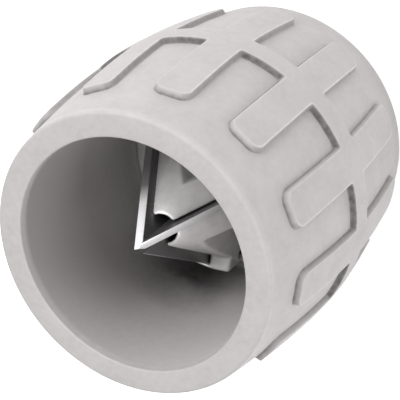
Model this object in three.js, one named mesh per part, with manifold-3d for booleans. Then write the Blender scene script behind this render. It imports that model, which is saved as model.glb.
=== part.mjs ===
// Hand-held inner and outer deburring tool for pipe ends: a ribbed barrel that is open at
// both ends, with a three-armed cutter holder and three fixed blades inside.
// Millimetres. +Z is the barrel's axis and points out of the reaming end. The origin is the
// centre of the rim of the chamfering end, on which the tool stands.
import * as THREE from "three";
import { mergeVertices } from "three/addons/utils/BufferGeometryUtils.js";
import Module from "manifold-3d";

// Barrel. A depth is measured along the axis from the rim of the reaming end.
const LENGTH = 56.6;
const RIM_RADIUS = 24.15;
const WAIST_RADIUS = 26.85; // outside the barrel at half its length, without the ribs
const BULGE_POWER = 1.65;
const BORE_RADIUS = 20.0;
const OUTER_EDGE_ROUND = 0.6;
const INNER_EDGE_ROUND = 0.3;
const SEAT_RADIUS = 20.8; // counterbore from the chamfering end, which takes the holder
const SEAT_DEPTH = 38.3;

// Grip ribs.
const RIB_COUNT = 12;
const RIB_TURN = THREE.MathUtils.degToRad(1.5); // of the first rib from the first blade
const RIB_HEIGHT = 1.0;
const RIB_WIDTH = 6.1;
const RIB_CORNER = 1.9;
const RIB_END_DEPTH = 7.5;
const BAND_WIDTH = 5.0;

// Blades. Each is a flat strip along a cone; its front edge reams and its back edge chamfers.
const BLADE_COUNT = 3;
const CONE_HALF_ANGLE = THREE.MathUtils.degToRad(30);
const APEX_DEPTH = 2.4;
const BLADE_AXIAL_WIDTH = 18.0;
const BLADE_THICKNESS = 1.3;
const RAKE_OFFSET = 0.8; // from the radial plane to the blade's leading face
const RELIEF_DROP = 0.7;
const BLADE_END_FRONT = 16.9; // radius of the blade's outer end at its front corner
const BLADE_END_REAR = 18.6; // and at its back corner

// Cutter holder.
const ARM_HALF_WIDTH = 5.1;
const ARM_RADIUS = 17.5;
const SHOULDER_DEPTH = 31.2;
const EYE_RADIUS = 2.75; // central hole that the three blades cross
const BLADE_REACH = 3.8; // how far each edge stands out of the holder, along the axis
const RING_INNER_RADIUS = 18.0;
const RING_BACK_DEPTH = 49.0;

// Fastenings.
const GAP = 0.3;
const GRUB_RADIUS = 1.5;
const GRUB_LENGTH = 3.7;
const GRUB_SOCKET_WIDTH = 1.5; // across the flats
const GRUB_SOCKET_DEPTH = 1.6;
const GRUB_X = 14.5;
const GRUB_DEPTH = 36.5;
const PIN_RADIUS = 1.25;
const PIN_FRONT_DEPTH = 40.0;
const PIN_BACK_DEPTH = 48.7;
const CLIP_THICKNESS = 1.2;
const CLIP_OUTER_RADIUS = 21.5;
const CLIP_INNER_RADIUS = 19.3;
const CLIP_GAP_ANGLE = THREE.MathUtils.degToRad(18);
const GROOVE_RADIUS = 21.9;

const SEGMENTS = 72;
const CONE_SLOPE = 1 / Math.tan(CONE_HALF_ANGLE);
const FAR = 60; // longer than any dimension of the tool

const wasm = await Module();
wasm.setup();

const paint = (color, roughness, metalness) =>
  new THREE.MeshStandardMaterial({ color, roughness, metalness });
const MATERIALS = {
  coatedZinc: paint(0xc8c6c4, 0.6, 0.35),
  castZinc: paint(0xb4b4b4, 0.4, 0.8),
  bladeSteel: paint(0xd0d0d2, 0.2, 1.0),
  darkSteel: paint(0x3c3c3e, 0.45, 0.9),
};

// A height above the origin plane for a depth below the front rim.
const height = (depth) => LENGTH - depth;

// A three.js geometry as a manifold solid.
function solidOf(geometry) {
  const bare = geometry.clone();
  bare.deleteAttribute("normal");
  bare.deleteAttribute("uv");
  const merged = mergeVertices(bare, 1e-4);
  return new wasm.Manifold(
    new wasm.Mesh({
      numProp: 3,
      vertProperties: new Float32Array(merged.attributes.position.array),
      triVerts: new Uint32Array(merged.index.array),
    }),
  );
}

// A manifold solid as a flat-shaded three.js geometry.
function geometryOf(solid) {
  const { vertProperties, triVerts } = solid.getMesh();
  const indexed = new THREE.BufferGeometry();
  indexed.setAttribute("position", new THREE.BufferAttribute(vertProperties, 3));
  indexed.setIndex(new THREE.BufferAttribute(triVerts, 1));
  const flat = indexed.toNonIndexed();
  flat.computeVertexNormals();
  return flat;
}

const unite = (solids) => solids.reduce((whole, piece) => whole.add(piece));

// A closed [radius, depth] outline turned about +Z, given anticlockwise as seen with the
// radius to the right and the front rim at the top.
function revolve(outline, segments = SEGMENTS) {
  const points = [...outline, outline[0]].map(
    ([radius, depth]) => new THREE.Vector2(radius, height(depth)),
  );
  const lathe = new THREE.LatheGeometry(points, segments);
  return solidOf(lathe.rotateX(Math.PI / 2));
}

// An [x, depth] outline in the plane y = 0, made into a slab from y = low to y = high.
function slab(outline, low, high) {
  const shape = new THREE.Shape(outline.map(([x, depth]) => new THREE.Vector2(x, height(depth))));
  const slabGeometry = new THREE.ExtrudeGeometry(shape, { depth: high - low, bevelEnabled: false });
  slabGeometry.rotateX(Math.PI / 2);
  slabGeometry.translate(0, high, 0);
  return solidOf(slabGeometry);
}

// An outline in the XY plane, made into a prism between two depths.
function prism(shape, topDepth, bottomDepth, curveSegments = 12) {
  const geometry = new THREE.ExtrudeGeometry(shape, {
    depth: bottomDepth - topDepth,
    bevelEnabled: false,
    curveSegments,
  });
  return solidOf(geometry.translate(0, 0, height(bottomDepth)));
}

// Copies of a solid made at equal angles about the axis.
function around(count, make, startAngle = 0) {
  return Array.from({ length: count }, (_, i) => {
    const degrees = THREE.MathUtils.radToDeg(startAngle) + (360 * i) / count;
    return make().rotate([0, 0, degrees]);
  });
}

// Outside radius of the plain barrel at a depth.
function barrelRadius(depth) {
  const fromMiddle = Math.abs((2 * depth) / LENGTH - 1);
  return WAIST_RADIUS - (WAIST_RADIUS - RIM_RADIUS) * fromMiddle ** BULGE_POWER;
}

// [radius, depth] points along the barrel's outside, from the back depth to the front depth.
function outsideCurve(backDepth, frontDepth, raise, steps) {
  return Array.from({ length: steps + 1 }, (_, i) => {
    const depth = backDepth + ((frontDepth - backDepth) * i) / steps;
    return [barrelRadius(depth) + raise, depth];
  });
}

// Points along a quarter circle about a centre, from one angle to another.
function quarter([radius, depth], size, from, to, steps = 3) {
  return Array.from({ length: steps + 1 }, (_, i) => {
    const angle = from + ((to - from) * i) / steps;
    return [radius + size * Math.cos(angle), depth - size * Math.sin(angle)];
  });
}

function ribOutline() {
  const half = RIB_WIDTH / 2;
  const low = height(LENGTH - RIB_END_DEPTH);
  const high = height(RIB_END_DEPTH);
  const shape = new THREE.Shape();
  shape.moveTo(-half + RIB_CORNER, low);
  shape.lineTo(half - RIB_CORNER, low);
  shape.absarc(half - RIB_CORNER, low + RIB_CORNER, RIB_CORNER, -Math.PI / 2, 0);
  shape.absarc(half - RIB_CORNER, high - RIB_CORNER, RIB_CORNER, 0, Math.PI / 2);
  shape.absarc(-half + RIB_CORNER, high - RIB_CORNER, RIB_CORNER, Math.PI / 2, Math.PI);
  shape.absarc(-half + RIB_CORNER, low + RIB_CORNER, RIB_CORNER, Math.PI, 1.5 * Math.PI);
  return shape;
}

// One rib's footprint as a bar that runs radially out through the barrel's wall.
function ribBar() {
  const bar = new THREE.ExtrudeGeometry(ribOutline(), {
    depth: FAR,
    bevelEnabled: false,
    curveSegments: 3,
  });
  const across = new THREE.Vector3(0, 1, 0);
  const along = new THREE.Vector3(0, 0, 1);
  const outward = new THREE.Vector3(1, 0, 0);
  return solidOf(bar.applyMatrix4(new THREE.Matrix4().makeBasis(across, along, outward)));
}

function makeBarrel() {
  const o = OUTER_EDGE_ROUND;
  const i = INNER_EDGE_ROUND;
  const right = Math.PI / 2;
  const root = BORE_RADIUS + (RIM_RADIUS - BORE_RADIUS) / 2; // inside the barrel's wall
  const grooveTop = RING_BACK_DEPTH;
  const grooveBottom = RING_BACK_DEPTH + CLIP_THICKNESS + 2 * GAP;
  const body = revolve([
    [SEAT_RADIUS, SEAT_DEPTH],
    [SEAT_RADIUS, grooveTop],
    [GROOVE_RADIUS, grooveTop],
    [GROOVE_RADIUS, grooveBottom],
    [SEAT_RADIUS, grooveBottom],
    ...quarter([SEAT_RADIUS + i, LENGTH - i], i, -2 * right, -right),
    ...quarter([barrelRadius(o) - o, LENGTH - o], o, -right, 0),
    ...outsideCurve(LENGTH - 2 * o, 2 * o, 0, 10),
    ...quarter([barrelRadius(o) - o, o], o, 0, right),
    ...quarter([BORE_RADIUS + i, i], i, right, 2 * right),
    [BORE_RADIUS, SEAT_DEPTH],
  ]);
  const raised = revolve([
    [root, LENGTH - RIB_END_DEPTH + 1],
    ...outsideCurve(LENGTH - RIB_END_DEPTH + 1, RIB_END_DEPTH - 1, RIB_HEIGHT, 10),
    [root, RIB_END_DEPTH - 1],
  ]);
  const bandBack = (LENGTH + BAND_WIDTH) / 2;
  const bandFront = (LENGTH - BAND_WIDTH) / 2;
  const band = revolve([
    [root, bandBack],
    [FAR, bandBack],
    [FAR, bandFront],
    [root, bandFront],
  ]);
  const ribs = unite([...around(RIB_COUNT, ribBar, RIB_TURN), band]).intersect(raised);
  const pinHoles = unite(pinSolids(PIN_RADIUS + GAP, PIN_FRONT_DEPTH - GAP, grooveTop + GAP));
  return body.add(ribs).subtract(pinHoles);
}

// The strip along +X before it is turned to its place: its section is a parallelogram, so
// that the front edge leads on one face and the back edge on the other.
function makeBlade() {
  const outward = new THREE.Vector3(Math.cos(CONE_HALF_ANGLE), 0, Math.sin(CONE_HALF_ANGLE));
  const along = new THREE.Vector3(Math.sin(CONE_HALF_ANGLE), 0, -Math.cos(CONE_HALF_ANGLE));
  const sideways = new THREE.Vector3(0, 1, 0);
  const width = BLADE_AXIAL_WIDTH * Math.sin(CONE_HALF_ANGLE);
  const lead = RAKE_OFFSET;
  const trail = RAKE_OFFSET - BLADE_THICKNESS;
  const section = new THREE.Shape([
    new THREE.Vector2(-width, trail),
    new THREE.Vector2(-RELIEF_DROP, trail),
    new THREE.Vector2(0, lead),
    new THREE.Vector2(-width + RELIEF_DROP, lead),
  ]);
  const strip = new THREE.ExtrudeGeometry(section, { depth: 2 * FAR, bevelEnabled: false });
  strip.translate(0, 0, -FAR);
  strip.applyMatrix4(new THREE.Matrix4().makeBasis(outward, sideways, along.negate()));
  strip.translate(0, 0, height(APEX_DEPTH));
  const thirdOfTurn = new THREE.Shape([
    new THREE.Vector2(GAP / 2, 0),
    new THREE.Vector2(FAR, -FAR * Math.tan(Math.PI / 3)),
    new THREE.Vector2(FAR, FAR * Math.tan(Math.PI / 3)),
  ]);
  const mitre = prism(thirdOfTurn, 0, LENGTH);
  return solidOf(strip).intersect(mitre).intersect(slab(bladeReach(0), -GAP - 2, GAP + 2));
}

// Everything inside the slanting outer end of a blade, widened by a clearance.
function bladeReach(clearance) {
  const frontDepth = APEX_DEPTH + BLADE_END_FRONT * CONE_SLOPE;
  const rearDepth = APEX_DEPTH + BLADE_AXIAL_WIDTH + BLADE_END_REAR * CONE_SLOPE;
  const slant = (BLADE_END_REAR - BLADE_END_FRONT) / (rearDepth - frontDepth);
  const endAt = (depth) => BLADE_END_FRONT + slant * (depth - frontDepth) + clearance;
  return [
    [0, LENGTH],
    [endAt(LENGTH), LENGTH],
    [endAt(0), 0],
    [0, 0],
  ];
}

// The slot in the holder that a blade lies in: all that is behind the blade's front edge.
function slotSolid() {
  const tip = APEX_DEPTH - GAP / Math.sin(CONE_HALF_ANGLE);
  const behindEdge = slab(
    [
      [0, LENGTH],
      [(LENGTH - tip) / CONE_SLOPE, LENGTH],
      [0, tip],
    ],
    RAKE_OFFSET - BLADE_THICKNESS - GAP,
    RAKE_OFFSET + GAP,
  );
  return behindEdge.intersect(slab(bladeReach(GAP), -ARM_HALF_WIDTH, ARM_HALF_WIDTH));
}

// A cylinder across an arm, on the screw's axis, from the blade's leading face outwards.
function grubCylinder(radius, from, to, sides) {
  const cylinder = new THREE.CylinderGeometry(radius, radius, to - from, sides);
  return solidOf(cylinder.translate(GRUB_X, (from + to) / 2, height(GRUB_DEPTH)));
}

function makeGrubScrew() {
  const inner = RAKE_OFFSET + GAP;
  const outer = inner + GRUB_LENGTH;
  const socketRadius = GRUB_SOCKET_WIDTH / Math.sqrt(3);
  const shank = grubCylinder(GRUB_RADIUS, inner, outer, 24);
  return shank.subtract(grubCylinder(socketRadius, outer - GRUB_SOCKET_DEPTH, outer + 1, 6));
}

// Half-in, half-out dowels between the holder's ring and the barrel, midway between blades.
function pinSolids(radius, frontDepth, backDepth) {
  const pin = () => {
    const cylinder = new THREE.CylinderGeometry(radius, radius, backDepth - frontDepth, 20);
    cylinder.rotateX(Math.PI / 2);
    const middle = height((frontDepth + backDepth) / 2);
    return solidOf(cylinder.translate(SEAT_RADIUS - GAP / 2, 0, middle));
  };
  return around(BLADE_COUNT, pin, Math.PI / BLADE_COUNT);
}

function makeHolder() {
  const front = (radius) => APEX_DEPTH + BLADE_REACH + radius * CONE_SLOPE;
  const back = (radius) => APEX_DEPTH + BLADE_AXIAL_WIDTH - BLADE_REACH + radius * CONE_SLOPE;
  const shoulderInner = (SHOULDER_DEPTH - APEX_DEPTH - BLADE_REACH) / CONE_SLOPE;
  const ringFront = SEAT_DEPTH + GAP;
  const ringOuter = SEAT_RADIUS - GAP;
  const ringBackInner = RING_INNER_RADIUS + (RING_BACK_DEPTH - back(RING_INNER_RADIUS)) / CONE_SLOPE;
  const cone = revolve([
    [EYE_RADIUS, back(EYE_RADIUS)],
    [RING_INNER_RADIUS + 0.5, back(RING_INNER_RADIUS + 0.5)],
    [RING_INNER_RADIUS + 0.5, ringFront],
    [ARM_RADIUS, ringFront],
    [ARM_RADIUS, SHOULDER_DEPTH],
    [shoulderInner, SHOULDER_DEPTH],
    [EYE_RADIUS, front(EYE_RADIUS)],
  ]);
  const arm = () => {
    const box = new THREE.BoxGeometry(ringOuter - 1, 2 * ARM_HALF_WIDTH, LENGTH);
    return solidOf(box.translate((ringOuter - 1) / 2, 0, LENGTH / 2));
  };
  const ring = revolve([
    [RING_INNER_RADIUS, ringFront],
    [RING_INNER_RADIUS, back(RING_INNER_RADIUS)],
    [ringBackInner, RING_BACK_DEPTH],
    [ringOuter, RING_BACK_DEPTH],
    [ringOuter, ringFront],
  ]);
  const grubHole = () => grubCylinder(GRUB_RADIUS + GAP, 0, ARM_HALF_WIDTH + 1, 24);
  const cuts = unite([
    ...around(BLADE_COUNT, slotSolid),
    ...around(BLADE_COUNT, grubHole),
    ...pinSolids(PIN_RADIUS + GAP, PIN_FRONT_DEPTH - GAP, RING_BACK_DEPTH + GAP),
  ]);
  return cone.intersect(unite(around(BLADE_COUNT, arm))).add(ring).subtract(cuts);
}

// A plain internal snap ring, open at one place.
function makeClip() {
  const shape = new THREE.Shape();
  const start = CLIP_GAP_ANGLE / 2;
  const end = 2 * Math.PI - start;
  shape.absarc(0, 0, CLIP_OUTER_RADIUS, start, end);
  shape.absarc(0, 0, CLIP_INNER_RADIUS, end, start, true);
  const top = RING_BACK_DEPTH + GAP;
  return prism(shape, top, top + CLIP_THICKNESS, SEGMENTS);
}

const tool = new THREE.Group();

function addPiece(name, solid, material) {
  const mesh = new THREE.Mesh(geometryOf(solid), material);
  mesh.name = name;
  tool.add(mesh);
}

addPiece("barrel", makeBarrel(), MATERIALS.coatedZinc);
addPiece("cutter_holder", makeHolder(), MATERIALS.castZinc);
addPiece("snap_ring", makeClip(), MATERIALS.darkSteel);
around(BLADE_COUNT, makeBlade).forEach((solid, i) => {
  addPiece(`blade_${i + 1}`, solid, MATERIALS.bladeSteel);
});
around(BLADE_COUNT, makeGrubScrew).forEach((solid, i) => {
  addPiece(`blade_grub_screw_${i + 1}`, solid, MATERIALS.darkSteel);
});
pinSolids(PIN_RADIUS, PIN_FRONT_DEPTH, PIN_BACK_DEPTH).forEach((solid, i) => {
  addPiece(`locking_pin_${i + 1}`, solid, MATERIALS.darkSteel);
});

export default tool;
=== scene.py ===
"""Pipe deburring tool: detailed meshes, materials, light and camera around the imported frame."""

import math

import bmesh
import bpy
import numpy as np
from mathutils import Matrix, Vector


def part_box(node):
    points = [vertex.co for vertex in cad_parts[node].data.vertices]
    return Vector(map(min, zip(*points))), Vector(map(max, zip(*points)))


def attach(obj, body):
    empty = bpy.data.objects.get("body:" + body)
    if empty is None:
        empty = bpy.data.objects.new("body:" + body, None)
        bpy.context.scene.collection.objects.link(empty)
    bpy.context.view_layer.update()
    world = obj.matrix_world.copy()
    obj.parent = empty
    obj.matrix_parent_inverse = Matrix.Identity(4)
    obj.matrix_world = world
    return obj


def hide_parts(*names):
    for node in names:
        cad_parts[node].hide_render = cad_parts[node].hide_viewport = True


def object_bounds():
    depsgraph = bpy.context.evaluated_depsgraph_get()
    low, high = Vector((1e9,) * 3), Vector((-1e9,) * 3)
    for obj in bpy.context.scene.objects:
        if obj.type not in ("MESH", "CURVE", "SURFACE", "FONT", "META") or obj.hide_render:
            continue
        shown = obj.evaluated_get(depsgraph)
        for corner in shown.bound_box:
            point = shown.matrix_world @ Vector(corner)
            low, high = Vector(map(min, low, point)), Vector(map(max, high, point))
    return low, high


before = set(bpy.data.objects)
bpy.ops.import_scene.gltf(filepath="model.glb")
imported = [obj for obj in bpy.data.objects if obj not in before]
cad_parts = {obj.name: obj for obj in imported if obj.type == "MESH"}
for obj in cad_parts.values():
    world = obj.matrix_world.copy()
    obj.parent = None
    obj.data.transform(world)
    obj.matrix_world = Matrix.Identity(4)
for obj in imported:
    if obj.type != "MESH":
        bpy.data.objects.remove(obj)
CAD_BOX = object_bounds()

MM = 0.001

# ---------------------------------------------------------------- sizes, in millimetres
# Heights run up from the chamfering end; a depth runs down from the reaming end's rim.
LENGTH = CAD_BOX[1].z / MM
RIM_RADIUS = 24.15
WAIST_RADIUS = 26.85
BULGE_POWER = 1.65
BORE_RADIUS = 20.0
SEAT_RADIUS = 20.8
SEAT_DEPTH = 38.3
OUTER_EDGE_ROUND = 0.6
INNER_EDGE_ROUND = 0.3
STEP_ROUND = 0.15  # of the counterbore's and the groove's edges
OUTER_EDGE_POINTS = 10  # of the barrel's profile, on each rim's rounded outer edge
INNER_EDGE_POINTS = 7  # and on its inner edge

RIB_COUNT = 12
RIB_TURN = math.radians(1.5)  # of the ribs about the axis, from the first blade
RIB_HEIGHT = (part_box("barrel")[1].x / MM) - WAIST_RADIUS
RIB_WIDTH = 6.1
RIB_CORNER = 1.9
RIB_END_DEPTH = 7.5
BAND_WIDTH = 5.0
RIB_WALL = 0.38  # how wide a rib's side looks from outside, over its rounded edge and foot
RIB_FILLET = 0.5  # in the corners where a rib meets the band

# Painted shade and light lines on the barrel: the dark lines are painted shade at the ribs' walls
# and feet, the light lines partly edge wear and partly painted highlight. A place is a distance
# from the ribs' outline, outwards.
FOOT_LINE = 0.16  # middle of the thin line of painted shade at a rib's foot
FOOT_LINE_WIDTH = 0.13
WALL_LINE = 0.04  # middle of the painted shade that takes a rib's whole side
WALL_LINE_WIDTH = 0.22
CREST_LINE = -0.26  # middle of the light line on a rib's edge, partly wear and partly painted highlight
CREST_LINE_WIDTH = 0.14
LEADING_LINE = 0.75  # the foot line's strength on sides that face the way the blades lead
TRAILING_WALL = 0.4  # the wall stretch's strength on sides that face the other way
CREST_LEAST = 0.35  # the light line's strength on sides that don't face that other way
RIM_WEAR_AND_HIGHLIGHT = 0.25  # how light the rims' edges are painted, partly wear and partly painted highlight, next to 1 on the ribs' edges
SHADED_TURN = math.radians(140)  # the side of the bore painted darkest, as painted shade
SIDE_SHADE_START = 20.0  # depths between which that painted shade fades out
SIDE_SHADE_END = 32.0
SHADOW_TURN = math.radians(-126)  # the middle of the painted shadow in the bore, near the third blade
SHADOW_HALF_WIDTH = math.radians(47)
SHADOW_START = 18.0  # depths between which the painted shadow gets dark
SHADOW_END = 30.0

HOLDER_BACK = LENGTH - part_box("cutter_holder")[0].z / MM
GROOVE_RADIUS = 21.9
GROOVE_WIDTH = 1.8

APEX_DEPTH = 2.4
CONE_SLOPE = 1 / math.tan(math.radians(30))
BLADE_AXIAL_WIDTH = 18.0
BLADE_REACH = 3.8
BLADE_TRAIL = -0.5
BLADE_LEAD = 0.8
GAP = 0.3
SNUG = 0.1  # the gap where a blade lies against the holder
BLADES = 3
FADE_START = 11.5  # along a blade, where painted shadow starts to darken its bright land
FADE_END = 15.5
TIP_RADIUS = 1.6  # the blades' tips lie inside this radius
TIP_REACH = 0.12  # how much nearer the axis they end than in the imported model
BLADE_BEVEL = 0.07

ARM_HALF_WIDTH = 5.1
ARM_RADIUS = 17.5
SHOULDER_DEPTH = 31.2
EYE_RADIUS = 2.75
EYE_LIP = 0.35  # how far the rounded lip of the eye reaches into it
RING_INNER_RADIUS = 18.0
RING_FRONT_DEPTH = SEAT_DEPTH + GAP
RING_OUTER_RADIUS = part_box("cutter_holder")[1].x / MM
BLADE_END_FRONT = 16.9
BLADE_END_REAR = 18.6
HOLDER_STEP = 0.25  # between the points at which the holder's surface is sought
HOLDER_MARGIN = 2.3 * HOLDER_STEP

GRUB_LOW, GRUB_HIGH = (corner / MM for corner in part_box("blade_grub_screw_1"))
GRUB_RADIUS = (GRUB_HIGH.x - GRUB_LOW.x) / 2
PIN_LOW, PIN_HIGH = (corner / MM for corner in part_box("locking_pin_2"))
PIN_RADIUS = (PIN_HIGH.y - PIN_LOW.y) / 2
PIN_CENTRE = -(PIN_LOW.x + PIN_HIGH.x) / 2
CLIP_LOW, CLIP_HIGH = (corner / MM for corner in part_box("snap_ring"))
CLIP_INNER_RADIUS = 19.3
CLIP_HALF_GAP = math.radians(9)
CLIP_EDGE_ROUND = 0.2


def height(depth):
    return LENGTH - depth


def barrel_radius(depth):
    from_middle = np.abs(2 * depth / LENGTH - 1)
    return WAIST_RADIUS - (WAIST_RADIUS - RIM_RADIUS) * from_middle**BULGE_POWER


# ---------------------------------------------------------------- mesh helpers
def new_piece(name, vertices, faces, node, material):
    """A mesh piece in metres that stands for a CAD node, rides on the tool and is smooth."""
    mesh = bpy.data.meshes.new(name)
    mesh.from_pydata([tuple(v) for v in np.asarray(vertices) * MM], [], faces)
    mesh.validate()
    mesh.polygons.foreach_set("use_smooth", [True] * len(mesh.polygons))
    mesh.materials.append(material)
    piece = bpy.data.objects.new(name, mesh)
    bpy.context.scene.collection.objects.link(piece)
    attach(piece, "root")
    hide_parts(node)
    return piece


def closed_grid_faces(rows, columns):
    """Quads over a grid that closes on itself both ways."""
    i = np.arange(rows)[:, None]
    j = np.arange(columns)[None, :]
    a = i * columns + j
    b = i * columns + (j + 1) % columns
    c = ((i + 1) % rows) * columns + (j + 1) % columns
    d = ((i + 1) % rows) * columns + j
    return np.stack([a, b, c, d], -1).reshape(-1, 4).tolist()


def steps(marks):
    """Values through (start, end, step) stretches, without repeats."""
    parts = []
    for start, end, step in marks:
        count = max(1, round(abs(end - start) / step))
        parts.append(np.linspace(start, end, count, endpoint=False))
    return np.concatenate(parts)


# ---------------------------------------------------------------- barrel
def rib_distance(turn, depth):
    """How far a point of the barrel's outside is from the ribs' and the band's outline."""
    period = 2 * math.pi / RIB_COUNT
    from_rib = (turn - RIB_TURN + period / 2) % period - period / 2
    across = np.abs(from_rib) * barrel_radius(depth)
    along = np.abs(depth - LENGTH / 2)
    half_length = LENGTH / 2 - RIB_END_DEPTH
    qx = across - (RIB_WIDTH / 2 - RIB_CORNER)
    qy = along - (half_length - RIB_CORNER)
    outside = np.hypot(np.maximum(qx, 0), np.maximum(qy, 0))
    finger = outside + np.minimum(np.maximum(qx, qy), 0) - RIB_CORNER
    band = along - BAND_WIDTH / 2
    blend = np.clip(0.5 + 0.5 * (band - finger) / RIB_FILLET, 0, 1)
    return band * (1 - blend) + finger * blend - RIB_FILLET * blend * (1 - blend)


def rib_rise(distance):
    rise = np.clip(0.5 - distance / RIB_WALL, 0, 1)
    return RIB_HEIGHT * rise**2 * (3 - 2 * rise)


def wall_facing(turn, depth):
    """How squarely the ribs' outline faces the reaming rim, and the way the blades lead."""
    small = 0.02
    ahead = small / WAIST_RADIUS
    to_rim = rib_distance(turn, depth - small) - rib_distance(turn, depth + small)
    leading = rib_distance(turn + ahead, depth) - rib_distance(turn - ahead, depth)
    return to_rim / (2 * small), leading / (2 * small)


def barrel_depths():
    """Depths of the rows between the two rounded outer edges, close together at walls."""
    wall = 0.5
    corner = RIB_CORNER + 0.6
    band = (LENGTH - BAND_WIDTH) / 2
    front = steps(
        [
            (OUTER_EDGE_ROUND, RIB_END_DEPTH - wall, 0.9),
            (RIB_END_DEPTH - wall, RIB_END_DEPTH + wall, 0.07),
            (RIB_END_DEPTH + wall, RIB_END_DEPTH + corner, 0.16),
            (RIB_END_DEPTH + corner, band - wall, 1.2),
            (band - wall, band + wall, 0.07),
            (band + wall, LENGTH / 2, 0.9),
        ]
    )
    middle = [LENGTH / 2]
    return np.concatenate([front, middle, (LENGTH - front)[::-1]])


def barrel_turns():
    """Angles of the columns over the whole turn, close together at the ribs' sides."""
    half_width = RIB_WIDTH / 2 / WAIST_RADIUS
    wall = 0.55 / WAIST_RADIUS
    corner = 0.6 * half_width
    half_period = math.pi / RIB_COUNT
    side = steps(
        [
            (0.0, half_width - corner, 0.02),
            (half_width - corner, half_width - wall, 0.0055),
            (half_width - wall, half_width + wall, 0.0026),
            (half_width + wall, half_period, 0.022),
        ]
    )
    period = np.concatenate([side, [half_period], -side[:0:-1]])
    turns = np.concatenate([RIB_TURN + period + k * 2 * half_period for k in range(RIB_COUNT)])
    return np.unique(np.round(turns % (2 * math.pi), 9))


def arc(radius, depth, size, start, end, count):
    """[radius, depth] points on a circle, from one angle to another."""
    angle = np.linspace(math.radians(start), math.radians(end), count)
    return np.stack([radius + size * np.cos(angle), depth - size * np.sin(angle)], 1)


def barrel_profile(outer):
    """[radius, depth] points once round the barrel's section, about the given outside points."""
    o = OUTER_EDGE_ROUND
    i = INNER_EDGE_ROUND
    r = STEP_ROUND
    groove_top = HOLDER_BACK
    groove_end = groove_top + GROOVE_WIDTH
    edge_radius = barrel_radius(o) - o
    return np.concatenate(
        [
            arc(SEAT_RADIUS + i, LENGTH - i, i, -180, -90, INNER_EDGE_POINTS),
            arc(edge_radius, LENGTH - o, o, -90, 0, OUTER_EDGE_POINTS),
            outer,
            arc(edge_radius, o, o, 0, 90, OUTER_EDGE_POINTS),
            arc(BORE_RADIUS + i, i, i, 90, 180, INNER_EDGE_POINTS),
            [[BORE_RADIUS, d] for d in np.arange(2.0, SEAT_DEPTH - 1, 2.0)],
            arc(BORE_RADIUS + r, SEAT_DEPTH - r, r, 180, 270, 4),
            arc(SEAT_RADIUS - r, SEAT_DEPTH + r, r, 90, 0, 4),
            [[SEAT_RADIUS, d] for d in np.linspace(SEAT_DEPTH + 1, groove_top - 1, 6)],
            arc(SEAT_RADIUS + r, groove_top - r, r, 180, 270, 4),
            arc(GROOVE_RADIUS - r, groove_top + r, r, 90, 0, 4),
            arc(GROOVE_RADIUS - r, groove_end - r, r, 0, -90, 4),
            arc(SEAT_RADIUS + r, groove_end + r, r, 90, 180, 4),
            [[SEAT_RADIUS, groove_end + 2.0]],
        ]
    )


def line_at(distance, place, width, power=2):
    """How strongly a point lies on a soft line along the ribs' outline."""
    return np.exp(-(((distance - place) / width) ** power))


def rib_marks(turns, depth, distance):
    """How much painted shade and how much light edge line, partly wear and partly painted
    highlight, each point of the ribbed outside has.
    """
    to_rim, leading = wall_facing(turns, depth)
    recess = np.abs(depth - LENGTH / 2) < BAND_WIDTH / 2 + 1
    whole_wall = line_at(distance, WALL_LINE, WALL_LINE_WIDTH, 4)
    line = line_at(distance, FOOT_LINE, FOOT_LINE_WIDTH)
    line *= np.maximum(np.clip(to_rim, 0, 1), LEADING_LINE * np.clip(leading, 0, 1))
    # painted shade, strongest on walls that face the reaming rim or the way the blades lead
    foot = np.maximum(line, whole_wall * np.clip(to_rim, 0, 1) * recess)
    foot = np.maximum(foot, TRAILING_WALL * whole_wall * np.clip(-leading, 0, 1))
    edge_wear_and_highlight = line_at(distance, CREST_LINE, CREST_LINE_WIDTH)
    # the light line is partly painted highlight, so it is strongest on sides that face against the
    # blades' lead
    edge_wear_and_highlight *= CREST_LEAST + (1 - CREST_LEAST) * np.clip(-leading, 0, 1)
    return foot, edge_wear_and_highlight


def bore_marks(turns, depth):
    """How much painted shade each point of the bore has from its side, and how much painted shadow
    deep near the third blade.
    """
    darker = 0.5 + 0.5 * np.cos(turns - SHADED_TURN)
    shallow = np.clip((SIDE_SHADE_END - depth) / (SIDE_SHADE_END - SIDE_SHADE_START), 0, 1)
    # painted shadow: deep in the bore, over a stretch of the turn near the third blade
    from_shadow = np.abs((turns - SHADOW_TURN + math.pi) % (2 * math.pi) - math.pi)
    beside = 0.5 + 0.5 * np.cos(math.pi * np.minimum(from_shadow / SHADOW_HALF_WIDTH, 1))
    darkening = np.clip((depth - SHADOW_START) / (SHADOW_END - SHADOW_START), 0, 1)
    return darker * shallow, darkening * beside


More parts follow.
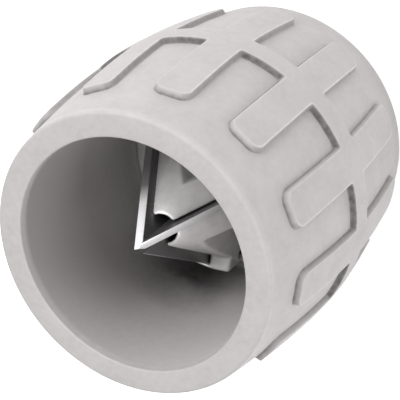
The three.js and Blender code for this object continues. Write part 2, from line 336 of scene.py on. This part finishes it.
def make_barrel(material):
    depths = barrel_depths()[1:-1][::-1]
    outer = np.stack([barrel_radius(depths), depths], 1)
    profile = barrel_profile(outer)
    turns = barrel_turns()
    radius = np.repeat(profile[:, :1], len(turns), 1)
    depth = np.repeat(profile[:, 1:], len(turns), 1)
    edges = INNER_EDGE_POINTS + OUTER_EDGE_POINTS
    ribbed = slice(edges, edges + len(outer))
    distance = rib_distance(turns[None, :], depth[ribbed])
    radius[ribbed] += rib_rise(distance)
    x = radius * np.cos(turns)
    y = radius * np.sin(turns)
    vertices = np.stack([x, y, height(depth)], -1).reshape(-1, 3)
    faces = closed_grid_faces(len(profile), len(turns))
    piece = new_piece("ribbed_barrel", vertices, faces, "barrel", material)

    # painted shade at the ribs' walls and feet
    foot = np.zeros(radius.shape)
    # light edge lines on ribs and rims: partly wear, partly painted highlight
    edge_wear_and_highlight = np.zeros(radius.shape)
    foot[ribbed], edge_wear_and_highlight[ribbed] = rib_marks(turns[None, :], depth[ribbed], distance)
    edge_wear_and_highlight[ribbed.start - OUTER_EDGE_POINTS : ribbed.start] = RIM_WEAR_AND_HIGHLIGHT
    edge_wear_and_highlight[ribbed.stop : ribbed.stop + edges] = RIM_WEAR_AND_HIGHLIGHT
    inside = np.zeros(radius.shape)
    inside[: ribbed.start - OUTER_EDGE_POINTS] = 1
    inside[ribbed.stop + edges :] = 1
    # painted shade on one side of the bore, and painted shadow deep in it near the third blade
    side_shade, deep_shadow = bore_marks(turns, depth)
    add_values(piece, "foot", foot)
    add_values(piece, "edge_wear_and_highlight", edge_wear_and_highlight)
    add_values(piece, "bore", inside)
    add_values(piece, "side_shade", inside * side_shade)
    add_values(piece, "deep_shadow", inside * deep_shadow)
    recalculate_outside(piece)


def add_values(piece, name, values):
    """One number for each vertex, which the materials read."""
    layer = piece.data.attributes.new(name, "FLOAT", "POINT")
    layer.data.foreach_set("value", np.asarray(values, dtype=np.float32).ravel())


def recalculate_outside(piece):
    """Turns every face of a piece to point out."""
    mesh = piece.data
    work = bmesh.new()
    work.from_mesh(mesh)
    bmesh.ops.recalc_face_normals(work, faces=work.faces)
    work.to_mesh(mesh)
    work.free()
    mesh.update()


# ---------------------------------------------------------------- cutter holder
def round_max(a, b, size):
    """The larger of two distances, with the edge between them rounded."""
    near = np.maximum(size - np.abs(a - b), 0) / size
    return np.maximum(a, b) + near * near * size / 4


def round_min(a, b, size):
    return -round_max(-a, -b, size)


def fold(x, y, start):
    """Points turned by whole thirds of a turn into the one sector about an angle."""
    third = 2 * math.pi / BLADES
    turn = np.arctan2(y, x)
    folded = (turn - start + third / 2) % third - third / 2
    radius = np.hypot(x, y)
    return radius * np.cos(folded), radius * np.sin(folded), radius


def holder_distance(x, y, depth):
    """Roughly how far a point is outside the holder; negative inside it."""
    along, across, radius = fold(x, y, 0.0)
    edge = 0.5
    front = (APEX_DEPTH + BLADE_REACH + radius * CONE_SLOPE - depth) / 2
    back = (depth - APEX_DEPTH - BLADE_AXIAL_WIDTH + BLADE_REACH - radius * CONE_SLOPE) / 2
    sides = np.abs(across) - ARM_HALF_WIDTH
    arm = round_min(front, SHOULDER_DEPTH - depth, 0.3)
    arm = round_max(arm, radius - ARM_RADIUS, edge)
    arm = round_max(arm, sides, edge)
    arm = round_max(arm, EYE_RADIUS - EYE_LIP - radius, 1.0)
    foot = round_max(radius - RING_INNER_RADIUS - 0.5, sides, edge)
    foot = np.maximum(foot, RING_FRONT_DEPTH - depth)
    ring = round_max(radius - RING_OUTER_RADIUS, RING_INNER_RADIUS - radius, 0.3)
    ring = round_max(ring, RING_FRONT_DEPTH - depth, edge)
    ring = round_max(ring, depth - HOLDER_BACK, edge)
    whole = round_min(np.minimum(arm, foot), ring, 1.2)
    whole = round_max(whole, back, edge)

    slot = np.maximum(BLADE_TRAIL - SNUG - across, across - BLADE_LEAD - GAP)
    slot = np.maximum(slot, (APEX_DEPTH + along * CONE_SLOPE - depth) / 2 - GAP)
    slant = (BLADE_END_REAR - BLADE_END_FRONT) / (
        BLADE_AXIAL_WIDTH + (BLADE_END_REAR - BLADE_END_FRONT) * CONE_SLOPE
    )
    end_depth = APEX_DEPTH + BLADE_END_FRONT * CONE_SLOPE
    end = BLADE_END_FRONT + slant * (depth - end_depth) + SNUG
    slot = np.maximum(slot, along - end)
    whole = round_max(whole, -slot, 0.16)

    grub_depth = LENGTH - (GRUB_LOW.z + GRUB_HIGH.z) / 2
    grub_x = (GRUB_LOW.x + GRUB_HIGH.x) / 2
    grub = np.hypot(along - grub_x, depth - grub_depth) - GRUB_RADIUS - GAP
    grub = np.maximum(grub, -across)
    whole = round_max(whole, -grub, 0.3)

    between, beside, radius = fold(x, y, math.pi / BLADES)
    pin = np.hypot(between - PIN_CENTRE, beside) - PIN_RADIUS - GAP
    pin = np.maximum(pin, LENGTH - PIN_HIGH.z - GAP - depth)
    return round_max(whole, -pin, 0.2)


def surface_net(distance, low, high, step):
    """Vertices and quads of the surface where a distance is zero, one vertex to a cell."""
    axes = [np.arange(a, b + step, step) for a, b in zip(low, high)]
    grid = np.meshgrid(*axes, indexing="ij")
    values = distance(*grid).astype(np.float32)
    inside = values < 0
    shape = tuple(n - 1 for n in values.shape)

    def corner(array, i, j, k):
        return array[i : i + shape[0], j : j + shape[1], k : k + shape[2]]

    corners = [(i, j, k) for i in (0, 1) for j in (0, 1) for k in (0, 1)]
    count = sum(corner(inside, *c).astype(np.int8) for c in corners)
    active = (count > 0) & (count < 8)
    cells = np.argwhere(active)
    index = np.full(shape, -1, dtype=np.int64)
    index[active] = np.arange(len(cells))

    total = np.zeros((len(cells), 3))
    crossings = np.zeros(len(cells))
    for a in corners:
        for axis in range(3):
            if a[axis]:
                continue
            b = list(a)
            b[axis] = 1
            va = values[tuple((cells + a).T)]
            vb = values[tuple((cells + b).T)]
            crossed = (va < 0) != (vb < 0)
            share = np.where(crossed, va / np.where(crossed, va - vb, 1), 0)
            point = np.repeat(np.array(a, dtype=float)[None], len(cells), 0)
            point[:, axis] = share
            total += np.where(crossed[:, None], point, 0)
            crossings += crossed
    points = np.array(low) + (cells + total / crossings[:, None]) * step

    small = step / 8
    for _ in range(3):
        value = distance(*points.T)
        slope = np.stack(
            [
                (distance(*(points + d).T) - distance(*(points - d).T)) / (2 * small)
                for d in np.eye(3) * small
            ],
            1,
        )
        size = np.maximum((slope**2).sum(1), 0.3)
        points -= np.clip(value / size, -step / 4, step / 4)[:, None] * slope

    faces = []
    for axis in range(3):
        u, v = (axis + 1) % 3, (axis + 2) % 3
        ahead = np.roll(inside, -1, axis)
        cut = inside != ahead
        edge_cells = np.argwhere(cut)
        keep = edge_cells[:, axis] < shape[axis]
        keep &= (edge_cells[:, u] > 0) & (edge_cells[:, u] < shape[u])
        keep &= (edge_cells[:, v] > 0) & (edge_cells[:, v] < shape[v])
        edge_cells = edge_cells[keep]
        du = np.eye(3, dtype=int)[u]
        dv = np.eye(3, dtype=int)[v]
        quad = [edge_cells, edge_cells - du, edge_cells - du - dv, edge_cells - dv]
        quad = np.stack([index[tuple(q.T)] for q in quad], 1)
        outward = inside[tuple(edge_cells.T)]
        quad = np.where(outward[:, None], quad, quad[:, ::-1])
        faces.append(quad)
    return points, np.concatenate(faces)


def make_holder(material):
    reach = RING_OUTER_RADIUS + HOLDER_MARGIN
    top = APEX_DEPTH + BLADE_REACH + EYE_RADIUS * CONE_SLOPE - 1.1
    points, faces = surface_net(
        holder_distance,
        (-reach, -reach, top),
        (reach, reach, HOLDER_BACK + HOLDER_MARGIN),
        HOLDER_STEP,
    )
    x, y, depth = points.T.copy()
    points[:, 2] = height(depth)
    piece = new_piece(
        "cast_cutter_holder", points, faces.tolist(), "cutter_holder", material
    )
    recalculate_outside(piece)
    _, across, radius = fold(x, y, 0.0)
    front = APEX_DEPTH + BLADE_REACH + radius * CONE_SLOPE
    # painted shade inside the eye, under its lip
    in_eye = np.clip((EYE_RADIUS + 0.2 - radius) / 0.3, 0, 1)
    add_values(piece, "eye_shade", in_eye * (depth > front + 0.9))
    # painted highlight along the arms' side edges
    corner = np.hypot((depth - front) / 2, np.abs(across) - ARM_HALF_WIDTH)
    add_values(piece, "edge_highlight", np.exp(-((corner / 0.3) ** 2)))


# ---------------------------------------------------------------- blades and fastenings
def make_blade(number, materials):
    """The CAD blade with its edges rounded a little, and a second finish on its ground lands."""
    node_name = f"blade_{number}"
    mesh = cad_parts[node_name].data.copy()
    work = bmesh.new()
    work.from_mesh(mesh)
    bmesh.ops.remove_doubles(work, verts=work.verts, dist=0.001 * MM)
    bmesh.ops.dissolve_limit(
        work, angle_limit=math.radians(1), verts=work.verts, edges=work.edges
    )
    bmesh.ops.bevel(
        work,
        geom=list(work.edges),
        offset=BLADE_BEVEL * MM,
        segments=2,
        profile=0.5,
        affect="EDGES",
        clamp_overlap=True,
    )
    bmesh.ops.recalc_face_normals(work, faces=work.faces)
    points = np.array([v.co for v in work.verts]) / MM
    faces = [[v.index for v in f.verts] for f in work.faces]
    work.free()
    turn = 2 * math.pi * (number - 1) / BLADES
    tip = np.hypot(points[:, 0], points[:, 1]) < TIP_RADIUS
    points[tip] -= TIP_REACH * np.array([math.cos(turn), math.sin(turn), -CONE_SLOPE])
    name = f"ground_blade_{number}"
    piece = new_piece(name, points, faces, node_name, materials[0])
    piece.data.materials.append(materials[1])
    outward = Vector((math.cos(turn) * CONE_SLOPE, math.sin(turn) * CONE_SLOPE, 1)).normalized()
    down_edge = Vector((math.cos(turn), math.sin(turn), -CONE_SLOPE)).normalized()
    for face in piece.data.polygons:
        normal = face.normal
        if abs(normal.dot(outward)) > 0.4 and abs(normal.dot(down_edge)) < 0.3:
            face.material_index = 1
    x = points[:, 0] * math.cos(turn) + points[:, 1] * math.sin(turn)
    depth = LENGTH - points[:, 2] - APEX_DEPTH
    add_values(piece, "along", (x + depth * CONE_SLOPE) / math.hypot(1, CONE_SLOPE))
    add_values(piece, "across", (x * CONE_SLOPE - depth) / math.hypot(1, CONE_SLOPE))
    piece.data.set_sharp_from_angle(angle=math.radians(35))


def loops_mesh(loops):
    """Loops of the same number of points joined in order, with a point closing each end."""
    count = len(loops[0])
    vertices = np.concatenate([*loops, [np.mean(loops[0], 0)], [np.mean(loops[-1], 0)]])
    faces = []
    for i in range(len(loops) - 1):
        for j in range(count):
            k = (j + 1) % count
            faces.append(
                (i * count + j, i * count + k, (i + 1) * count + k, (i + 1) * count + j)
            )
    first, last = len(vertices) - 2, len(vertices) - 1
    end = (len(loops) - 1) * count
    for j in range(count):
        k = (j + 1) % count
        faces.append((first, k, j))
        faces.append((last, end + j, end + k))
    return vertices, faces


def make_grub_screw(number, material):
    """A set screw with a rolled thread, a cup point and a hexagon socket."""
    columns = 48
    pitch = 0.5
    thread = 0.27
    chamfer = 0.35
    angle = np.linspace(0, 2 * math.pi, columns, endpoint=False)
    length = GRUB_HIGH.y - GRUB_LOW.y
    socket_flat = 0.75
    sixth = math.pi / 3
    hexagon = socket_flat / np.cos((angle + sixth / 2) % sixth - sixth / 2)
    rings = [(0.35, 0.25), (0.7, 0.02), (0.85, 0.0)]
    loops = [(radius + 0 * angle, y) for radius, y in rings]
    for y in np.arange(0.05, length, pitch / 8):
        wave = np.abs(((y / pitch - angle / (2 * math.pi)) % 1) * 2 - 1)
        limit = GRUB_RADIUS - np.maximum(chamfer - min(y, length - y), 0)
        loops.append((np.minimum(GRUB_RADIUS - thread * wave, limit), y))
    loops.append((GRUB_RADIUS - chamfer - 0.05 + 0 * angle, length))
    loops.append((hexagon + 0.06, length))
    loops.append((hexagon, length - 0.06))
    loops.append((hexagon, length - 1.5))
    loops.append((0.6 * hexagon, length - 1.6))
    centre_x = (GRUB_LOW.x + GRUB_HIGH.x) / 2
    centre_z = (GRUB_LOW.z + GRUB_HIGH.z) / 2
    made = [
        np.stack(
            [
                centre_x + radius * np.cos(angle),
                GRUB_LOW.y + y + 0 * angle,
                centre_z + radius * np.sin(angle),
            ],
            1,
        )
        for radius, y in loops
    ]
    vertices, faces = loops_mesh(made)
    turned(vertices, number)
    piece = new_piece(
        f"set_screw_{number}",
        vertices,
        faces,
        f"blade_grub_screw_{number}",
        material,
    )
    recalculate_outside(piece)
    piece.data.set_sharp_from_angle(angle=math.radians(50))


def turned(vertices, number, start=0.0):
    """Turns points in place from the first blade's position to another's."""
    turn = start + 2 * math.pi * (number - 1) / BLADES
    x = vertices[:, 0].copy()
    y = vertices[:, 1].copy()
    vertices[:, 0] = x * math.cos(turn) - y * math.sin(turn)
    vertices[:, 1] = x * math.sin(turn) + y * math.cos(turn)


def make_pin(number, material):
    """A dowel with chamfered ends."""
    chamfer = 0.25
    angle = np.linspace(0, 2 * math.pi, 48, endpoint=False)
    outline = [
        (0.5 * PIN_RADIUS, PIN_LOW.z),
        (PIN_RADIUS - chamfer, PIN_LOW.z),
        (PIN_RADIUS - 0.02, PIN_LOW.z + chamfer),
        (PIN_RADIUS, PIN_LOW.z + 1.5 * chamfer),
        (PIN_RADIUS, PIN_HIGH.z - 1.5 * chamfer),
        (PIN_RADIUS - 0.02, PIN_HIGH.z - chamfer),
        (PIN_RADIUS - chamfer, PIN_HIGH.z),
        (0.5 * PIN_RADIUS, PIN_HIGH.z),
    ]
    loops = [
        np.stack([PIN_CENTRE + r * np.cos(angle), r * np.sin(angle), z + 0 * angle], 1)
        for r, z in outline
    ]
    vertices, faces = loops_mesh(loops)
    turned(vertices, number, math.pi / BLADES)
    name = f"dowel_{number}"
    piece = new_piece(name, vertices, faces, f"locking_pin_{number}", material)
    recalculate_outside(piece)
    piece.data.set_sharp_from_angle(angle=math.radians(40))


def make_snap_ring(material):
    """A round-edged spring ring, open at one place."""
    edge = CLIP_EDGE_ROUND
    outer = -CLIP_LOW.x - edge
    inner = CLIP_INNER_RADIUS + edge
    angle = np.linspace(CLIP_HALF_GAP, 2 * math.pi - CLIP_HALF_GAP, 240)
    corners = [
        (outer, CLIP_HIGH.z - edge, 0),
        (inner, CLIP_HIGH.z - edge, 90),
        (inner, CLIP_LOW.z + edge, 180),
        (outer, CLIP_LOW.z + edge, 270),
    ]
    section = []
    for radius, z, start in corners:
        for degrees in np.linspace(start, start + 90, 5):
            t = math.radians(degrees)
            section.append((radius + edge * math.cos(t), z + edge * math.sin(t)))
    section = np.array(section)
    middle = section.mean(0)
    loops = []
    for i, t in enumerate(angle):
        from_end = min(i, len(angle) - 1 - i)
        shrink = 0.75 if from_end == 0 else 1.0
        r, z = (middle + (section - middle) * shrink).T
        loops.append(np.stack([r * math.cos(t), r * math.sin(t), z], 1))
    vertices, faces = loops_mesh(loops)
    piece = new_piece("spring_ring", vertices, faces, "snap_ring", material)
    recalculate_outside(piece)
    piece.data.set_sharp_from_angle(angle=math.radians(40))


# ---------------------------------------------------------------- materials
def linear(value):
    """An sRGB value from 0 to 255 as a linear one."""
    v = value / 255
    return v / 12.92 if v <= 0.04045 else ((v + 0.055) / 1.055) ** 2.4


def colour(r, g, b):
    return (linear(r), linear(g), linear(b), 1.0)


class Nodes:
    """A short way to lay out a material's node tree."""

    def __init__(self, name):
        self.material = bpy.data.materials.new(name)
        self.material.use_nodes = True
        self.tree = self.material.node_tree
        self.shader = self.tree.nodes["Principled BSDF"]
        self.place = self.add("ShaderNodeTexCoord").outputs["Object"]

    def add(self, kind, **values):
        node = self.tree.nodes.new(kind)
        for key, value in values.items():
            if hasattr(node, key):
                setattr(node, key, value)
            else:
                node.inputs[key.replace("_", " ")].default_value = value
        return node

    def link(self, output, target):
        self.tree.links.new(output, target)

    def noise(self, per_mm, detail=4.0, roughness=0.55, stretch=None):
        node = self.add("ShaderNodeTexNoise")
        node.inputs["Scale"].default_value = per_mm / MM
        node.inputs["Detail"].default_value = detail
        node.inputs["Roughness"].default_value = roughness
        source = self.place
        if stretch:
            mapping = self.add("ShaderNodeMapping")
            mapping.inputs["Scale"].default_value = stretch
            self.link(source, mapping.inputs["Vector"])
            source = mapping.outputs["Vector"]
        self.link(source, node.inputs["Vector"])
        return node.outputs["Fac"]

    def ramp(self, source, low, high, out_low=0.0, out_high=1.0):
        node = self.add("ShaderNodeMapRange")
        node.inputs["From Min"].default_value = low
        node.inputs["From Max"].default_value = high
        node.inputs["To Min"].default_value = out_low
        node.inputs["To Max"].default_value = out_high
        self.link(source, node.inputs["Value"])
        return node.outputs["Result"]

    def spread(self, noise, out_low=0.0, out_high=1.0):
        """The middle of a noise, where most of its values lie, stretched over two values."""
        return self.ramp(noise, 0.3, 0.7, out_low, out_high)

    def value(self, name):
        """A number that the mesh keeps for each vertex."""
        return self.add("ShaderNodeAttribute", attribute_name=name).outputs["Fac"]

    def times(self, first, second):
        node = self.add("ShaderNodeMath", operation="MULTIPLY")
        self.link(first, node.inputs[0])
        self.link(second, node.inputs[1])
        return node.outputs["Value"]

    def mix(self, factor, first, second):
        node = self.add("ShaderNodeMix", data_type="RGBA")
        self.link(factor, node.inputs["Factor"])
        for value, socket in ((first, node.inputs["A"]), (second, node.inputs["B"])):
            if isinstance(value, tuple):
                socket.default_value = value
            else:
                self.link(value, socket)
        return node.outputs["Result"]

    def bump(self, source, depth_mm, below=None):
        node = self.add("ShaderNodeBump")
        node.inputs["Strength"].default_value = 1.0
        node.inputs["Distance"].default_value = depth_mm * MM
        self.link(source, node.inputs["Height"])
        if below:
            self.link(below, node.inputs["Normal"])
        return node.outputs["Normal"]


def coated_casting():
    """Matt warm grey coating on a casting: worn and grimy round its ribs, glossier inside."""
    n = Nodes("coated_casting")
    mottle = n.noise(0.2, detail=3)
    patch = n.noise(0.9, detail=5, roughness=0.6)
    grain = n.noise(4.0, detail=5, roughness=0.6)
    outside = n.mix(n.spread(mottle), colour(139, 135, 135), colour(145, 142, 142))
    outside = n.mix(n.ramp(patch, 0.35, 0.75, 0.0, 0.5), outside, colour(151, 149, 149))
    # light edge lines: partly wear, partly painted highlight where light falls on the edges
    wear_and_highlight = n.times(n.value("edge_wear_and_highlight"), n.spread(patch, 0.5, 0.9))
    outside = n.mix(wear_and_highlight, outside, colour(168, 167, 166))
    # painted shade on the ribs' walls and feet, weighted by which way each wall faces
    painted_rib_shade = n.times(n.value("foot"), n.spread(patch, 0.95, 0.6))
    outside = n.mix(painted_rib_shade, outside, colour(62, 60, 58))
    # the bore is painted lighter than the outside and darker towards one side: painted light and
    # painted shade
    bore = n.mix(n.spread(patch), colour(163, 159, 159), colour(172, 168, 168))
    bore = n.mix(n.value("side_shade"), bore, colour(129, 125, 125))
    # painted shadow deep in the bore beside the third blade
    painted_shadow = n.times(n.value("deep_shadow"), n.spread(patch, 1.0, 0.85))
    bore = n.mix(painted_shadow, bore, colour(30, 28, 27))
    n.link(n.mix(n.value("bore"), outside, bore), n.shader.inputs["Base Color"])
    bore_gloss = n.ramp(n.value("bore"), 0, 1, 1.0, 0.66)
    n.link(n.times(n.spread(grain, 0.5, 0.66), bore_gloss), n.shader.inputs["Roughness"])
    fine = n.bump(grain, 0.01)
    n.link(n.bump(patch, 0.025, fine), n.shader.inputs["Normal"])
    n.link(n.ramp(n.value("bore"), 0, 1, 0.25, 1.2), n.shader.inputs["Specular IOR Level"])
    return n.material


def cast_metal():
    """Bare satin zinc: bright, softly glossy, with a fine cast grain, a painted highlight along
    the arms' edges and painted shade inside the eye.
    """
    n = Nodes("cast_metal")
    mottle = n.noise(0.4, detail=3)
    grain = n.noise(4.0, detail=5)
    base = n.mix(n.spread(mottle), colour(205, 204, 203), colour(222, 221, 220))
    # painted highlight along the arms' edges
    base = n.mix(n.value("edge_highlight"), base, colour(248, 248, 247))
    # painted shade inside the eye
    base = n.mix(n.value("eye_shade"), base, colour(46, 45, 44))
    n.link(base, n.shader.inputs["Base Color"])
    n.shader.inputs["Metallic"].default_value = 0.35
    n.link(n.spread(grain, 0.32, 0.44), n.shader.inputs["Roughness"])
    n.link(n.bump(grain, 0.006), n.shader.inputs["Normal"])
    return n.material


def blade_steel(name, darker, bright, metallic, roughness, far=1.0):
    """Hardened steel with fine grinding lines; far out it is painted darker, to a share of its
    colour, as painted shadow.
    """
    n = Nodes(name)
    combine = n.add("ShaderNodeCombineXYZ")
    n.link(n.value("along"), combine.inputs["X"])
    n.link(n.value("across"), combine.inputs["Y"])
    n.place = combine.outputs["Vector"]
    lines = n.noise(8.0 * MM, detail=3, stretch=(1.0, 0.06, 1.0))
    unshaded = n.mix(n.spread(lines), darker, bright)
    shaded_far = tuple(channel * far for channel in bright[:3]) + (1.0,)
    # painted shadow: darker far out along the blade
    base = n.mix(n.ramp(n.value("along"), FADE_START, FADE_END), unshaded, shaded_far)
    n.link(base, n.shader.inputs["Base Color"])
    n.shader.inputs["Metallic"].default_value = metallic
    n.link(n.spread(lines, roughness, roughness + 0.12), n.shader.inputs["Roughness"])
    n.link(n.bump(lines, 0.003), n.shader.inputs["Normal"])
    return n.material


def black_steel():
    """Blackened steel fasteners."""
    n = Nodes("black_steel")
    mottle = n.noise(1.5)
    base = n.mix(n.spread(mottle), colour(52, 52, 54), colour(84, 84, 86))
    n.link(base, n.shader.inputs["Base Color"])
    n.shader.inputs["Metallic"].default_value = 0.9
    n.link(n.spread(mottle, 0.35, 0.5), n.shader.inputs["Roughness"])
    n.link(n.bump(n.noise(6.0), 0.005), n.shader.inputs["Normal"])
    return n.material


# ---------------------------------------------------------------- stage
CAMERA_AZIMUTH = 26.15  # from +X towards +Y, degrees
CAMERA_ELEVATION = 53.39
CAMERA_ROLL = 130.7
CAMERA_DISTANCE = 242.3
CAMERA_OFFSET = (-1.70, -1.99)  # of the view's middle from the tool's, right and up
CAMERA_LENS = 127.1


def camera_axes():
    """The camera's right, up and backward directions."""
    azimuth = math.radians(CAMERA_AZIMUTH)
    elevation = math.radians(CAMERA_ELEVATION)
    flat = Vector((math.cos(azimuth), math.sin(azimuth), 0))
    back = flat * math.cos(elevation) + Vector((0, 0, math.sin(elevation)))
    level = Vector((0, 0, 1)).cross(back).normalized()
    turn = Matrix.Rotation(-math.radians(CAMERA_ROLL), 3, back)
    return turn @ level, turn @ back.cross(level), back


def make_camera():
    right, up, back = camera_axes()
    middle = Vector((0, 0, LENGTH / 2))
    aim = middle + right * CAMERA_OFFSET[0] + up * CAMERA_OFFSET[1]
    data = bpy.data.cameras.new("camera")
    data.lens = CAMERA_LENS
    data.sensor_width = 36.0
    camera = bpy.data.objects.new("camera", data)
    place = Matrix.Translation((aim + back * CAMERA_DISTANCE) * MM)
    camera.matrix_world = place @ Matrix((right, up, back)).transposed().to_4x4()
    data.clip_start = 0.01
    data.clip_end = 10.0
    bpy.context.scene.collection.objects.link(camera)
    bpy.context.scene.camera = camera


def make_floor():
    """A wide, flat, pale floor under the tool."""
    half = 1.5
    corners = [(-half, -half, 0), (half, -half, 0), (half, half, 0), (-half, half, 0)]
    mesh = bpy.data.meshes.new("floor")
    mesh.from_pydata(corners, [], [(0, 1, 2, 3)])
    n = Nodes("floor")
    n.shader.inputs["Base Color"].default_value = (0.95, 0.95, 0.95, 1)
    n.shader.inputs["Roughness"].default_value = 0.9
    mesh.materials.append(n.material)
    floor = bpy.data.objects.new("floor", mesh)
    bpy.context.scene.collection.objects.link(floor)


def area_light(name, azimuth, elevation, power, size=0.3, distance=0.6):
    """A square soft light aimed at the tool's middle: degrees, watts and metres."""
    azimuth = math.radians(azimuth)
    elevation = math.radians(elevation)
    direction = Vector(
        (
            math.cos(elevation) * math.cos(azimuth),
            math.cos(elevation) * math.sin(azimuth),
            math.sin(elevation),
        )
    )
    data = bpy.data.lights.new(name, "AREA")
    data.size = size
    data.energy = power
    light = bpy.data.objects.new(name, data)
    light.location = Vector((0, 0, LENGTH / 2 * MM)) + direction * distance
    light.rotation_mode = "QUATERNION"
    light.rotation_quaternion = (-direction).to_track_quat("-Z", "Y")
    bpy.context.scene.collection.objects.link(light)


def make_lights():
    world = bpy.data.worlds.new("studio")
    world.use_nodes = True
    background = world.node_tree.nodes["Background"]
    background.inputs["Color"].default_value = (1, 1, 1, 1)
    background.inputs["Strength"].default_value = 0.54
    bpy.context.scene.world = world
    area_light("key_light", 110, 48, 3.6)
    area_light("left_light", 75, 20, 2.03)
    area_light("right_light", -30, 20, 1.5)
    area_light("right_fill", -30, 45, 1.26)
    area_light("low_fill", -75, 40, 1.05)
    bpy.context.scene.view_settings.view_transform = "Standard"


# ---------------------------------------------------------------- the scene
COATING = coated_casting()
CAST = cast_metal()
BLADE_FACE = blade_steel("blade_face", colour(104, 103, 103), colour(134, 133, 133), 0.9, 0.34)
DIMMER_LAND = (colour(196, 196, 197), colour(214, 214, 215), 0.75)  # darker, bright, and share far out: lit and shaded copies of one ground finish, painted light, the second blade's the brighter one, each painted darker far out as painted shadow
BRIGHTER_LAND = (colour(222, 222, 223), colour(242, 242, 243), 0.25)
BLADE_EDGES = [
    blade_steel(f"blade_edge_{number}", darker, bright, 0.3, 0.3, far)
    for number, (darker, bright, far) in enumerate([DIMMER_LAND, BRIGHTER_LAND, DIMMER_LAND], 1)
]
BLACK = black_steel()

make_barrel(COATING)
make_holder(CAST)
make_snap_ring(BLACK)
for blade in range(1, BLADES + 1):
    make_blade(blade, (BLADE_FACE, BLADE_EDGES[blade - 1]))
    make_grub_screw(blade, BLACK)
    make_pin(blade, BLACK)

make_camera()
make_floor()
make_lights()
